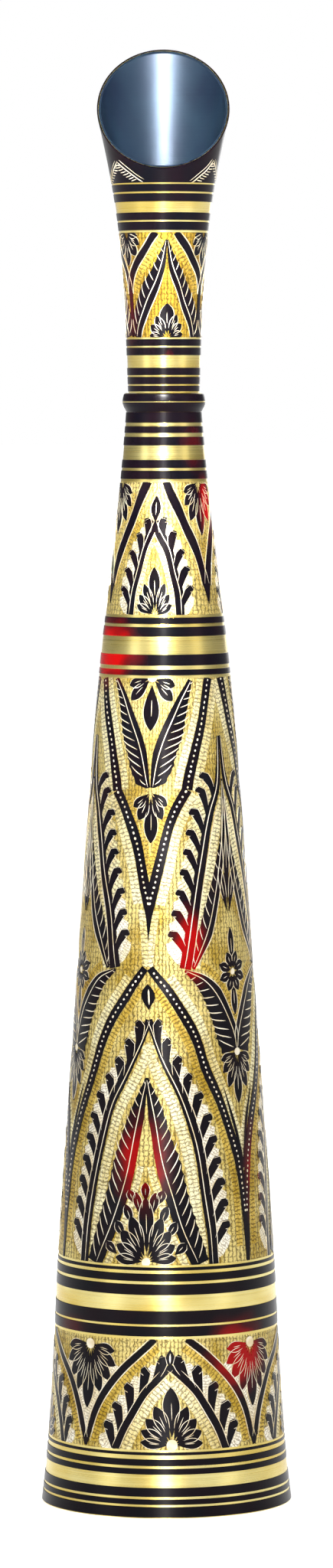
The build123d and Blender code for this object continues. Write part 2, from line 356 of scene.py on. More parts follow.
class Pattern:
    """What is cut and left in one field. Grids are kept in degrees from the motif's middle and
    height. build() repeats them round the vase and gives each its thickness."""

    def __init__(self, middle, repeats, low, high, seed):
        self.middle = middle
        self.repeats = repeats
        self.low = low
        self.high = high
        self.half = 180 / repeats
        self.grids = {kind: [] for kind in LAYERS}
        self.random = np.random.default_rng(seed)

    def run(self, *points):
        """Run through points of (share of half a repeat, height)."""
        return Run([(share * self.half, z) for share, z in points])

    def add(self, kind, grid, mirror=True):
        """Keeps a grid for its layer, with or without a mirror image beside it."""
        self.grids[kind].append((grid, mirror))

    def band(self, run, half, start=0.0, end=1.0, mirror=True, shift=0.0, kind="lacquer"):
        """Strip of half width half (a number or a function of the share) along a run."""
        width = steady(half)
        grid = run.strip(lambda s: width(s) + shift, lambda s: shift - width(s), start, end)
        self.add(kind, grid, mirror)

    def line(self, run, shift=0.0, half=0.16, start=0.0, end=1.0, mirror=True):
        """Scraped line beside or along a run, pointed at both ends."""
        middle = steady(shift)

        def thin(share):
            return TINY + half * np.clip(8 * np.minimum(share - start, end - share), 0, 1) ** 0.5

        grid = run.strip(lambda s: middle(s) + thin(s), lambda s: middle(s) - thin(s), start, end)
        self.add("line", grid, mirror)

    def stroke(self, points, half, count=9):
        """Brush-shaped mark through points already in degrees and height: its half width
        follows a flattened half sine, so it is pointed at both ends."""
        run = Run(points, FINE_STEP)
        self.add("line", run.blade(swell(half, blunt=0.6), step=run.length / (count - 1)))

    def leaf(self, run, half):
        """Leaf that covers a run in the motif's middle from end to end."""
        spine = Run([run.at(run.length * t, 0) for t in (0, 0.35, 0.7, 1)], 0.4)
        self.add("lacquer", spine.blade(swell(half, 0.55), step=0.7, widest=1.6), False)

    def dots(self, run, size=0.43, spacing=2.15, start=0.02, end=0.98):
        """Row of small punched dots. Each is a square grid of nine points drawn out to a round."""
        count = max(2, int((end - start) * run.length / spacing))
        square = np.stack(np.meshgrid([-1, 0, 1], [-1, 0, 1], indexing="ij"), -1)
        disc = square / np.maximum(np.linalg.norm(square, axis=-1, keepdims=True), 1)
        for share in np.linspace(start, end, count):
            wide = size * self.random.uniform(0.75, 1.1)
            long = size * self.random.uniform(0.9, 1.5)
            drift = self.random.uniform(-0.18, 0.18, 2)
            way = share * run.length + drift[0] + disc[..., 0] * long
            self.add("line", run.at(way, drift[1] + disc[..., 1] * wide))

    def feather(self, run, outer, inner, side, barbs, lean=1.0):
        """Half feather: a solid strip inside the rib, a scraped rib line, and barbs outside it
        parted by bright strokes that lean towards the run's start. outer and inner are
        functions of the share; side is 1 when the barbs stand on the left."""
        notch = 0.09

        def edge(share):
            return outer(share) * (1 - notch * np.abs(np.sin(np.pi * barbs * share)))

        if side > 0:
            grid = run.strip(edge, lambda s: -inner(s), step=0.7)
        else:
            grid = run.strip(inner, lambda s: -edge(s), step=0.7)
        self.add("lacquer", grid)
        self.line(run, 0.0, 0.15, 0.01, 0.99)
        for share in np.linspace(0.03, 0.97, barbs):
            wide = float(outer(np.array([share]))[0])
            if wide < 0.9:
                continue
            way = share * run.length
            reach = np.array([0.22, 0.5, 0.78, 1.0]) * wide * self.random.uniform(0.92, 1.02)
            back = np.array([0.0, 0.35, 0.75, 1.25]) * wide * 0.8 * lean
            spots = run.at(np.clip(way - back, 0, run.length), side * reach)
            self.stroke(spots, 0.08 + 0.016 * wide, 7)

    def hook(self, run, way, side, length, reach, fat, block):
        """Curled leaf that leaves a stem at way, leans towards the run's start, swings out and
        ends in a bent-over tip, with a scraped line along each edge of its outer part. block is
        the finish of the worked patch below it."""
        along = np.array([0.30, 0.0, -0.40, -0.78, -1.0, -0.84]) * length
        out = np.array([0.0, 0.14, 0.38, 0.70, 0.96, 1.18]) * reach
        spine = Run(run.at(np.clip(way + along, 0, run.length), side * out), FINE_STEP)
        shape = profile_of((0, 0.3), (0.3, 0.55), (0.6, 0.88), (0.82, 1.0), (0.94, 0.75), (1, 0.15))

        def wide(share):
            return fat * shape(share)

        self.add("lacquer", spine.blade(wide, step=0.6, widest=1.6))
        for edge in (-1, 1):
            self.line(spine, lambda s: edge * (wide(s) + 0.08), 0.09, 0.4, 0.98)
        gap = np.array([0.55, 0.15, -0.25, -0.55]) * length
        spots = run.at(np.clip(way + gap, 0, run.length), side * out[1:5] * 1.08)
        size = 0.40 * length
        body = profile_of((0, 0.35), (0.2, 0.9), (0.7, 1.0), (1, 0.55))
        self.add(block, Run(spots, FINE_STEP).blade(lambda s: size * body(s), step=0.8))

    def petal(self, angle0, z0, lean, length, half, fat=0.62, mirror=True, root=0.0):
        """Petal from a point, lean degrees from straight up, with a scraped vein and a scraped
        line along each edge."""
        scale = float(np.radians(radius(z0)))
        step = np.array([math.sin(math.radians(lean)) / scale, math.cos(math.radians(lean))])
        base = np.array([angle0, z0])
        spine = Run([base + step * length * t for t in (root, 0.35, 0.7, 1.0)], FINE_STEP)
        wide = swell(half, fat, 0.8)
        self.add("lacquer", spine.blade(wide, step=0.6, widest=1.6), mirror)
        self.line(spine, 0.0, 0.1, 0.35, 0.7, mirror)
        for edge in (1, -1):
            self.line(spine, lambda s: edge * (wide(s) + 0.12), 0.1, 0.3, 0.97, mirror)

    def palmette(self, share, z0, up, petals, disc=0.0):
        """Fan of petals about a foot point. petals lists (lean, length, half width); those that
        lean are made on both sides. up is 1 for a standing fan and -1 for a hanging one. A disc
        is the radius of a worked round at the foot point."""
        angle0 = share * self.half
        for lean, length, half in petals:
            sides = (0,) if lean == 0 else (-1, 1)
            for side in sides:
                turn = side * lean if up > 0 else 180 - side * lean
                self.petal(angle0, z0, turn, length, half, mirror=False, root=0.12)
        if disc:
            run = Run([(angle0, z0 - disc), (angle0, z0), (angle0, z0 + disc)], 0.3)

            def wide(share):
                return TINY + disc * np.sqrt(np.clip(1 - (2 * share - 1) ** 2, 0, 1))

            self.add("line", run.blade(wide, step=0.3), False)

    def copies(self, grid, mirror):
        """The grid and its mirror image at each repeat round the vase, as angles and heights
        that stay inside the field."""
        for sign in (1, -1) if mirror else (1,):
            flat = grid * (sign, 1)
            if signed_area(flat) < 0:
                flat = flat[:, ::-1]
            for repeat in range(self.repeats):
                turned_to = flat[..., 0] + self.middle + repeat * 2 * self.half
                angle, z = self.by_hand(turned_to, flat[..., 1])
                yield angle, np.clip(z, self.low + 0.01, self.high - 0.01)

    def build(self, name, body, stood_for, finishes):
        """Makes the field's pieces: what is left of the lacquer, the scraped lines and dots, and
        the kinds of worked ground. Strips of a layer stand at slightly different heights, so
        that those that cross don't share a face."""
        for kind, (label, bottom, top, rise, slot) in LAYERS.items():
            if not self.grids[kind]:
                continue
            points, quads, uv, count = [], [], [], 0
            for number, (grid, mirror) in enumerate(self.grids[kind]):
                rows, columns = grid.shape[:2]
                faces = slab_quads(rows, columns)
                lift = top + rise * (number % 12)
                for angle, z in self.copies(grid, mirror):
                    upper = place(angle, z, lift).reshape(-1, 3)
                    lower = place(angle, z, bottom).reshape(-1, 3)
                    points += [upper, lower]
                    quads.append(faces + count)
                    uv.append(strip_uv(upper, rows, columns)[faces.ravel()])
                    count += 2 * rows * columns
            points = np.concatenate(points)
            stain = stain_at(points) if kind == "lacquer" else None
            piece = make_piece(
                f"{name}_{label}",
                points,
                np.concatenate(quads),
                [finishes[kind]],
                body,
                slot,
                np.concatenate(uv),
                stain,
            )
            if kind == "lacquer":
                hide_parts(stood_for)

    def by_hand(self, angle, z):
        """Small slow drift of the pattern, a sum of sines of the place, as drawn by hand."""
        a = np.radians(angle)
        drift = 0.35 * np.sin(5 * a + z / 13) + 0.2 * np.sin(11 * a - z / 7 + 1)
        rise = 0.3 * np.sin(4 * a + z / 17 + 2) + 0.15 * np.sin(13 * a + z / 5)
        return angle + np.degrees(drift / radius(z)), z + rise


def signed_area(grid):
    """Area of a grid, positive when its rows run with their left side towards rising columns."""
    along = np.diff(grid, axis=0)[:, :-1]
    across = np.diff(grid, axis=1)[:-1]
    return np.sum(along[..., 0] * across[..., 1] - along[..., 1] * across[..., 0])


def slab_quads(rows, columns):
    """Quads of a closed slab: the upper grid, the lower grid turned over, and the edge."""
    upper = grid_quads(rows, columns)
    size = rows * columns
    i, j = np.arange(rows), np.arange(columns)
    edge = np.concatenate(
        [i * columns, (rows - 1) * columns + j[1:], i[-2::-1] * columns + columns - 1, j[-2:0:-1]]
    )
    after = np.roll(edge, -1)
    side = np.stack([after, edge, edge + size, after + size], -1)
    return np.concatenate([upper, upper[:, ::-1] + size, side])


def strip_uv(upper, rows, columns):
    """Way along and across a strip in millimetres, for its upper points and the lower ones that
    lie under them."""
    grid = upper.reshape(rows, columns, 3) / MM
    along = np.linalg.norm(np.diff(grid, axis=0), axis=-1).mean(1)
    across = np.linalg.norm(np.diff(grid, axis=1), axis=-1)
    s = np.concatenate([[0], np.cumsum(along)])[:, None] + np.zeros((1, columns))
    t = np.concatenate([np.zeros((rows, 1)), np.cumsum(across, 1)], 1)
    t -= t[:, -1:] / 2
    start = grid[0, 0, 2] * 7.3 + grid[0, 0, 0] * 3.1  # so that neighbours don't look alike
    rows_uv = np.stack([s + start, t], -1).reshape(-1, 2)
    return np.concatenate([rows_uv, rows_uv])


# ---------------------------------------------------------------- finishes


def node(tree, kind, inputs=None, **settings):
    """Adds a shader node, sets it, and fills its inputs with values or links."""
    made = tree.nodes.new(kind)
    for key, value in settings.items():
        setattr(made, key, value)
    for key, value in (inputs or {}).items():
        if isinstance(value, bpy.types.NodeSocket):
            tree.links.new(value, made.inputs[key])
        else:
            made.inputs[key].default_value = value
    return made


def math_node(tree, operation, *values, clamp=False):
    """Output of a Math node."""
    inputs = dict(enumerate(values))
    return node(tree, "ShaderNodeMath", inputs, operation=operation, use_clamp=clamp).outputs[0]


def noise(tree, vector, scale, detail=3.0, rough=0.55):
    """Output of a noise texture."""
    inputs = {"Vector": vector, "Scale": scale, "Detail": detail, "Roughness": rough}
    return node(tree, "ShaderNodeTexNoise", inputs).outputs["Fac"]


def ramp(tree, fac, *stops):
    """Colour ramp with the given (place, colour) stops."""
    made = node(tree, "ShaderNodeValToRGB", {"Fac": fac})
    points = made.color_ramp.elements
    while len(points) < len(stops):
        points.new(0.5)
    for point, (at, colour) in zip(points, stops):
        point.position, point.color = at, (*colour, 1)
    return made.outputs["Color"]


def blend(tree, share, first, second):
    """Colour mixed from first to second by share."""
    made = node(tree, "ShaderNodeMix", data_type="RGBA")
    for key, value in ((0, share), (6, first), (7, second)):
        if isinstance(value, bpy.types.NodeSocket):
            tree.links.new(value, made.inputs[key])
        else:
            made.inputs[key].default_value = value if key == 0 else (*value, 1)
    return made.outputs[2]


def scaled(tree, vector, scale):
    """Coordinates stretched by a Mapping node."""
    return node(tree, "ShaderNodeMapping", {"Vector": vector, "Scale": scale}).outputs[0]


def new_material(name):
    """Material with an empty node tree but for its output and shader."""
    material = bpy.data.materials.new(name)
    material.use_nodes = True
    tree = material.node_tree
    return material, tree, tree.nodes["Principled BSDF"]


def bump(tree, shader, height, strength, distance):
    """Feeds a height into the shader's normal."""
    inputs = {"Height": height, "Strength": strength, "Distance": distance}
    made = node(tree, "ShaderNodeBump", inputs)
    tree.links.new(made.outputs[0], shader.inputs["Normal"])


def turned_brass():
    """Polished brass off the lathe: fine rings round the axis, warm and pale drifts of tone."""
    material, tree, shader = new_material("turned_brass")
    where = node(tree, "ShaderNodeTexCoord").outputs["Object"]
    rings = noise(tree, scaled(tree, where, (4, 4, 1600)), 1.0, 4, 0.7)
    drift = noise(tree, scaled(tree, where, (28, 28, 60)), 1.0, 2)
    colours = bpy.context.scene.vase_colours
    tone = ramp(tree, drift, (0.35, tuple(colours.warm_brass)), (0.65, tuple(colours.pale_brass)))
    marks = ramp(tree, rings, (0.3, (0.45, 0.31, 0.05)), (0.7, (0.95, 0.88, 0.5)))
    tree.links.new(blend(tree, 0.25, tone, marks), shader.inputs["Base Color"])
    shader.inputs["Metallic"].default_value = 1
    rough = node(tree, "ShaderNodeMapRange", {"Value": rings, "To Min": 0.2, "To Max": 0.36})
    tree.links.new(rough.outputs[0], shader.inputs["Roughness"])
    bump(tree, shader, rings, 0.25, 0.0001)
    return material


def hatched_brass(name, dark, light, cut, pitch, grain):
    """Chisel-worked ground: rows of short strokes across the run, a pitch apart, crossed by
    fainter ones along it, each row bent a little by noise, with specks where the tool bit deep.
    Strokes and specks dent the bump, and the colour cut is painted into them as painted shade
    in the grooves and pits. grain is how strongly that painted shade shows."""
    material, tree, shader = new_material(name)
    uv = node(tree, "ShaderNodeUVMap", uv_map="Run").outputs[0]
    object_place = node(tree, "ShaderNodeTexCoord").outputs["Object"]
    split = node(tree, "ShaderNodeSeparateXYZ", {"Vector": uv})
    wander = noise(tree, scaled(tree, uv, (0.55, 0.55, 1)), 1.0, 2)
    wobble = math_node(tree, "MULTIPLY_ADD", wander, 2.6, -1.3)

    def rows(axis, spacing, thin):
        """Thin lines at a spacing, dark with painted shade: the distance from each line, made steep."""
        run = math_node(tree, "ADD", split.outputs[axis], wobble)
        wave = math_node(tree, "PINGPONG", math_node(tree, "DIVIDE", run, spacing), 0.5)
        return node(
            tree, "ShaderNodeMapRange", {"Value": wave, "From Min": 0.04, "From Max": thin + 0.05}
        ).outputs[0]

    across = rows("X", pitch, 0.17)
    along = rows("Y", pitch * 1.25, 0.13)
    fade = noise(tree, scaled(tree, uv, (0.8, 0.8, 1)), 1.0, 3)
    weak = node(tree, "ShaderNodeMapRange", {"Value": fade, "From Min": 0.35, "From Max": 0.62})
    along = math_node(tree, "MAXIMUM", along, weak.outputs[0])
    strokes = math_node(tree, "MULTIPLY", across, along)
    tone = noise(tree, scaled(tree, object_place, (70, 70, 42)), 1.0, 3, 0.6)
    fine = noise(tree, scaled(tree, uv, (2.2, 0.7, 1)), 1.0, 2, 0.7)
    tone = math_node(tree, "MULTIPLY_ADD", fine, 0.45, math_node(tree, "MULTIPLY", tone, 0.75))
    colour = ramp(tree, tone, (0.48, dark), (0.66, light))
    specks = noise(tree, scaled(tree, uv, (1.3, 1.3, 1)), 1.0, 1)
    deep = node(tree, "ShaderNodeMapRange", {"Value": specks, "From Min": 0.25, "From Max": 0.33})
    # Painted shade: on the strokes and in the specks the colour cut stands in for the shade in the
    # grooves and deep pits; the same mask also dents the bump.
    grooves_and_shade = math_node(tree, "MULTIPLY", strokes, deep.outputs[0])
    share = math_node(tree, "MULTIPLY_ADD", grooves_and_shade, grain, 1 - grain)
    tree.links.new(blend(tree, share, cut, colour), shader.inputs["Base Color"])
    shader.inputs["Metallic"].default_value = 0.85
    shader.inputs["Roughness"].default_value = 0.46
    bump(tree, shader, grooves_and_shade, 0.55, 0.0002)
    return material


def bright_cut():
    """Fresh brass in a scraped line or a punched dot."""
    material, tree, shader = new_material("bright_cut_brass")
    where = node(tree, "ShaderNodeTexCoord").outputs["Object"]
    drift = noise(tree, scaled(tree, where, (160, 160, 160)), 1.0, 2)
    pale = tuple(bpy.context.scene.vase_colours.cut_brass)
    tone = ramp(tree, drift, (0.35, (0.78, 0.65, 0.40)), (0.6, pale))
    tree.links.new(tone, shader.inputs["Base Color"])
    shader.inputs["Metallic"].default_value = 0.8
    shader.inputs["Roughness"].default_value = 0.52
    bump(tree, shader, drift, 0.2, 0.0001)
    return material


def black_lacquer():
    """Black lacquer with a plum cast that turns maroon and then red where it is stained, over
    faint turning marks."""
    material, tree, shader = new_material("stained_lacquer")
    where = node(tree, "ShaderNodeTexCoord").outputs["Object"]
    colours = bpy.context.scene.vase_colours
    stain = node(tree, "ShaderNodeAttribute", attribute_name="stain").outputs["Fac"]
    cloud = noise(tree, scaled(tree, where, (60, 60, 45)), 1.0, 3)
    black = ramp(tree, cloud, (0.35, (0.001, 0.001, 0.003)), (0.7, (0.005, 0.001, 0.003)))
    maroon = (0.5, (0.045, 0.001, 0.002))
    red = ramp(tree, stain, (0.0, (0.006, 0.001, 0.003)), maroon, (0.95, tuple(colours.stain)))
    share = node(tree, "ShaderNodeMapRange", {"Value": stain, "From Min": 0.0, "From Max": 0.4})
    tree.links.new(blend(tree, share.outputs[0], black, red), shader.inputs["Base Color"])
    shader.inputs["Roughness"].default_value = 0.27
    shader.inputs["Specular IOR Level"].default_value = 0.12
    rings = noise(tree, scaled(tree, where, (6, 6, 900)), 1.0, 3, 0.6)
    bump(tree, shader, rings, 0.12, 0.0001)
    return material


def lining_lacquer():
    """Satin blue-black lining: turning rings, a grain of fine specks that is coarser low down,
    and blue in the light."""
    material, tree, shader = new_material("satin_lining")
    where = node(tree, "ShaderNodeTexCoord").outputs["Object"]
    rings = noise(tree, scaled(tree, where, (10, 10, 700)), 1.0, 4, 0.7)
    cloud = noise(tree, scaled(tree, where, (45, 45, 35)), 1.0, 3)
    blue = tuple(bpy.context.scene.vase_colours.lining_blue)
    tone = ramp(tree, cloud, (0.3, (0.005, 0.012, 0.030)), (0.7, blue))
    tree.links.new(tone, shader.inputs["Base Color"])
    shader.inputs["Metallic"].default_value = 0.5
    shader.inputs["Specular IOR Level"].default_value = 0.6
    grain = noise(tree, scaled(tree, where, (1100, 1100, 1100)), 1.0, 2, 0.7)
    height = node(tree, "ShaderNodeSeparateXYZ", {"Vector": where}).outputs["Z"]
    foot = {"Value": height, "From Min": 0.558, "From Max": 0.570, "To Min": 3.5, "To Max": 0.5}
    coarse = node(tree, "ShaderNodeMapRange", foot).outputs[0]
    both = math_node(tree, "MULTIPLY_ADD", grain, coarse, rings)
    rough = node(tree, "ShaderNodeMapRange", {"Value": rings, "To Min": 0.30, "To Max": 0.46})
    tree.links.new(rough.outputs[0], shader.inputs["Roughness"])
    bump(tree, shader, both, 0.3, 0.0001)
    return material


def stage_white():
    """Plain pale floor with a trace of its own light, so that it stays pale far away."""
    material, tree, shader = new_material("stage_white")
    shader.inputs["Base Color"].default_value = (0.9, 0.9, 0.9, 1)
    shader.inputs["Roughness"].default_value = 0.9
    shader.inputs["Emission Color"].default_value = (1, 1, 1, 1)
    shader.inputs["Emission Strength"].default_value = bpy.context.scene.vase_stage.floor_glow
    return material


def finish(name, maker, *values):
    """The named material, made the first time it is asked for."""
    return bpy.data.materials.get(name) or maker(*values)


def brass():
    """The turned brass of every plain wall."""
    return finish("turned_brass", turned_brass)


def lacquer():
    """The lacquer of every ring and motif."""
    return finish("stained_lacquer", black_lacquer)


def worked(name, dark, light, cut, pitch=1.7, grain=0.8):
    """A chisel-worked finish by its name and three colours, the third being cut, the painted shade in
    its chisel cuts.
    """
    return finish(name, hatched_brass, name, dark, light, cut, pitch, grain)


def ground(warm=False):
    """Worked brass between the motifs, more orange on the neck."""
    # The third colour of each finish is the painted shade in its chisel cuts.
    if warm:
        name = "warm_ground"
        return worked(name, (0.34, 0.18, 0.01), (0.56, 0.37, 0.04), (0.04, 0.016, 0.004))
    return worked("plain_ground", (0.46, 0.31, 0.04), (0.77, 0.63, 0.23), (0.06, 0.035, 0.01))


def field_finishes(warm=False):
    """Finishes of a cut field, by kind of mark."""
    # The third colour of each finish is the painted shade in its chisel cuts.
    rows = worked("pale_rows", (0.70, 0.57, 0.22), (0.96, 0.89, 0.56), (0.12, 0.08, 0.03))
    warm_rows = worked("warm_rows", (0.48, 0.28, 0.02), (0.74, 0.52, 0.09), (0.06, 0.03, 0.008))
    amber = worked("amber_rows", (0.44, 0.28, 0.02), (0.70, 0.50, 0.10), (0.06, 0.03, 0.008))
    bright = worked(
        "bright_rows", (0.86, 0.77, 0.52), (1.0, 0.96, 0.82), (0.24, 0.15, 0.06), 1.2, 0.7
    )
    return {
        "lacquer": lacquer(),
        "line": finish("bright_cut_brass", bright_cut),
        "hatch": warm_rows if warm else rows,
        "amber": amber,
        "silver": bright,
    }


# ---------------------------------------------------------------- settings


class VaseSizes(bpy.types.PropertyGroup):
    """Fineness of the turned pieces"""

    segments: bpy.props.IntProperty(
        name="Segments", description="Points round each turned piece", default=240, min=48, max=480
    )
    row_height: bpy.props.FloatProperty(
        name="Row height",
        description="Height of one row of faces on a turned wall",
        default=2.5 * MM,
        min=0.5 * MM,
        unit="LENGTH",
    )


class VaseColours(bpy.types.PropertyGroup):
    """Colours of the brass, the lacquer and the lining"""

    warm_brass: bpy.props.FloatVectorProperty(
        name="Warm brass",
        description="Darker tone of the turned brass",
        default=(0.64, 0.46, 0.07),
        subtype="COLOR",
    )
    pale_brass: bpy.props.FloatVectorProperty(
        name="Pale brass",
        description="Lighter tone of the turned brass",
        default=(0.84, 0.73, 0.29),
        subtype="COLOR",
    )
    cut_brass: bpy.props.FloatVectorProperty(
        name="Cut brass",
        description="Lighter tone of the scraped lines",
        default=(0.94, 0.87, 0.70),
        subtype="COLOR",
    )
    stain: bpy.props.FloatVectorProperty(
        name="Stain",
        description="Reddest tone of the lacquer",
        default=(0.30, 0.0, 0.0),
        subtype="COLOR",
    )
    lining_blue: bpy.props.FloatVectorProperty(
        name="Lining blue",
        description="Lighter tone of the mouth's lining",
        default=(0.012, 0.030, 0.052),
        subtype="COLOR",
    )


class VaseStage(bpy.types.PropertyGroup):
    """Camera, light and floor"""

    camera_distance: bpy.props.FloatProperty(
        name="Camera distance", description="From the vase's axis", default=2.736, unit="LENGTH"
    )
    camera_height: bpy.props.FloatProperty(
        name="Camera height", description="Above the floor", default=0.463, unit="LENGTH"
    )
    lens: bpy.props.FloatProperty(
        name="Lens",
        description="Focal length in millimetres",
        default=149.9,
        subtype="DISTANCE_CAMERA",
    )
    world_light: bpy.props.FloatProperty(
        name="World light", description="Strength of the light from all round", default=0.62
    )
    floor_glow: bpy.props.FloatProperty(
        name="Floor glow", description="Light of the floor itself", default=0.75
    )


def wall_heights(low, high):
    """Evenly spaced heights, about one row apart."""
    rows = max(2, int((high - low) * MM / bpy.context.scene.vase_sizes.row_height) + 1)
    return np.linspace(low, high, rows)


def levels(group):
    """(low, high) of each lacquer ring in a band group, from the top down."""
    level, rings = group[0], []
    for gap, ring in group[1]:
        level -= gap
        rings.append((level - ring, level))
        level -= ring
    return rings


def group_foot(group):
    """Height of a band group's foot."""
    return group[0] - sum(gap + ring for gap, ring in group[1]) - group[2]


def section_piece(name, section, fields):
    """A spun brass section: outer and inner wall joined by flat ends. The stretches named in
    fields are chisel-worked, and the rest is turned."""
    low, high, radii = section
    marks = sorted({low, high, *(edge for pair in fields for edge in pair if low < edge < high)})
    rows = np.unique(np.concatenate([wall_heights(a, b) for a, b in zip(marks, marks[1:])]))
    outer = np.stack([radius(rows) - COAT, rows], -1)
    outer[0, 0] = bezier(radii, 0.0) - COAT
    inner = outer[::-1] - (WALL, 0)
    loop = np.concatenate([outer, inner])
    segments = bpy.context.scene.vase_sizes.segments
    middle = (outer[:-1, 1] + outer[1:, 1]) / 2
    chiselled = np.zeros(len(loop), int)
    for a, b in fields:
        chiselled[: len(middle)] |= ((middle > a) & (middle < b)).astype(int)
    piece = make_piece(
        f"{name}_wall",
        turn_points(loop, segments),
        grid_quads(segments, len(loop), True, True),
        [brass(), ground()],
        "body",
        "brass",
        turn_uv(loop, segments),
        index=np.tile(chiselled, segments),
    )
    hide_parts(name)


# ---------------------------------------------------------------- operators


class VASE_OT_sections(bpy.types.Operator):
    """Foot, main and upper brass sections"""

    bl_idname = "vase.sections"
    bl_label = "Brass sections"

    def execute(self, context):
        fields = (
            (FOOT_BANDS[0], group_foot(LOWER_BANDS)),
            (LOWER_BANDS[0], group_foot(MIDDLE_BANDS)),
            (MIDDLE_BANDS[0], group_foot(SHOULDER_BANDS)),
        )
        section_piece("foot_section", FOOT_SECTION, fields)
        section_piece("main_section", MAIN_SECTION, fields)
        section_piece("upper_section", UPPER_SECTION, fields)
        return {"FINISHED"}


class VASE_OT_neck(bpy.types.Operator):
    """Spun neck and slant-cut mouth"""

    bl_idname = "vase.neck"
    bl_label = "Neck and mouth"

    def execute(self, context):
        segments = context.scene.vase_sizes.segments
        angle = np.linspace(0, 360, segments, endpoint=False)[:, None]
        low = NECK_SECTION[0]
        fixed = wall_heights(low, MOUTH_BANDS[0])[None, :] + 0 * angle
        share = np.linspace(0, 1, 24)[None, 1:]
        walls = []
        for inset in (COAT, COAT + WALL):
            top = rim_height(angle, inset)
            z = np.concatenate([fixed, MOUTH_BANDS[0] + (top - MOUTH_BANDS[0]) * share], 1)
            walls.append(place(angle, z, -inset))
        loop = np.concatenate([walls[0], walls[1][:, ::-1]], 1)
        columns = loop.shape[1]
        field = (NECK_BANDS[0], group_foot(MOUTH_BANDS))
        middle = (fixed[0, :-1] + fixed[0, 1:]) / 2
        chiselled = np.zeros(columns, int)
        chiselled[: len(middle)] = (middle > field[0]) & (middle < field[1])
        mean_radius = 18.0
        around = np.linspace(0, 2 * np.pi, segments + 1)[:, None] * mean_radius
        height = np.concatenate([loop[..., 2], loop[:1, :, 2]]) / MM
        rows = np.stack([around + 0 * height, height], -1).reshape(-1, 2)
        piece = make_piece(
            "neck_and_mouth_wall",
            loop.reshape(-1, 3),
            grid_quads(segments, columns, True, True),
            [brass(), ground(warm=True)],
            "neck",
            "brass",
            rows[corner_rows(segments, columns)],
            index=np.tile(chiselled, segments),
        )
        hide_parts("neck_and_mouth")
        return {"FINISHED"}


class VASE_OT_bands(bpy.types.Operator):
    """Lacquer rings of the plain bands"""

    bl_idname = "vase.bands"
    bl_label = "Plain bands"

    def execute(self, context):
        groups = (
            ("foot_band", FOOT_BANDS, "body"),
            ("lower_band", LOWER_BANDS, "body"),
            ("middle_band", MIDDLE_BANDS, "body"),
            ("shoulder_band", SHOULDER_BANDS, "body"),
            ("neck_band", NECK_BANDS, "neck"),
            ("mouth_band", MOUTH_BANDS, "neck"),
        )
        edge = 0.09  # bevel of each ring's edges
        sunk = COAT + 0.1  # depth of each ring's foot, a little into the brass
        for name, group, body in groups:
            profiles = []
            for low, high in levels(group):
                rows = np.linspace(low + edge, high - edge, max(3, int((high - low) / 0.8)))
                face = np.stack([radius(rows), rows], -1)
                below, above = float(radius(low)), float(radius(high))
                foot = [(below - sunk, low), (below - edge, low)]
                head = [(above - edge, high), (above - sunk, high)]
                profiles.append([*foot, *face, *head])
            piece = turned(
                f"{name}_rings",
                profiles,
                lacquer(),
                body,
                "black_lacquer",
                context.scene.vase_sizes.segments,
                stained=True,
            )
            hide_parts(f"{name}_lacquer")
        return {"FINISHED"}


class VASE_OT_collar(bpy.types.Operator):
    """Loose collar ring with its two lacquer rings and the bright edge between them"""

    bl_idname = "vase.collar"
    bl_label = "Collar"

    def execute(self, context):
        segments = context.scene.vase_sizes.segments
        low, high = UPPER_SECTION[1], NECK_SECTION[0]
        foot, head = low + 0.05, high - 0.05
        bright = (17.45, low + 4.3)
        below = ((15.8, foot), (16.1, low + 0.9), (16.9, low + 2.3), (17.4, low + 3.85))
        above = ((17.4, low + 4.75), (17.1, low + 6.4), (16.8, high - 0.5), (16.3, head))
        outer = np.array([*below, bright, *above])
        under_coat = [np.array(part) - (COAT, 0) for part in (below, above)]
        ring = [(COLLAR_BORE, foot), *under_coat[0], bright, *under_coat[1], (COLLAR_BORE, head)]
        piece = turned("collar_core", [ring], brass(), "collar", "brass", segments)
        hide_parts("collar_ring")

        def skin(start, end):
            """Closed profile of one lacquer ring between two heights."""
            rows = np.linspace(start, end, 12)
            r = np.interp(rows, outer[:, 1], outer[:, 0])
            face = np.stack([r, rows], -1)
            face[[0, -1], 0] -= 0.1
            return np.concatenate([face, face[::-1] - (COAT + 0.1, 0)])

        coats = [skin(low + 0.12, low + 4.1), skin(low + 4.5, high - 0.3)]
        piece = turned(
            "collar_coats", coats, lacquer(), "collar", "black_lacquer", segments, stained=True
        )
        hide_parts("collar_lacquer")
        return {"FINISHED"}


def threaded_points(profile, ridge, segments):
    """Closed profile carried round the axis, where each point with a thread depth moves out
    by that depth times the ridge's height: a trapezoid wave of height / pitch - turn."""
    r, z, depth = np.asarray(profile, float).T
    a = np.linspace(0, 2 * np.pi, segments, endpoint=False)[:, None]
    phase = (z - SCREW_FOOT) / PITCH - a / (2 * np.pi)
    away = np.abs(phase - np.round(phase)) * PITCH
    crest, flank = ridge
    wave = np.clip((crest + flank - away) / flank, 0, 1)
    out = r + depth * wave
    return np.stack([out * np.sin(a), -out * np.cos(a), z + 0 * a], -1).reshape(-1, 3) * MM


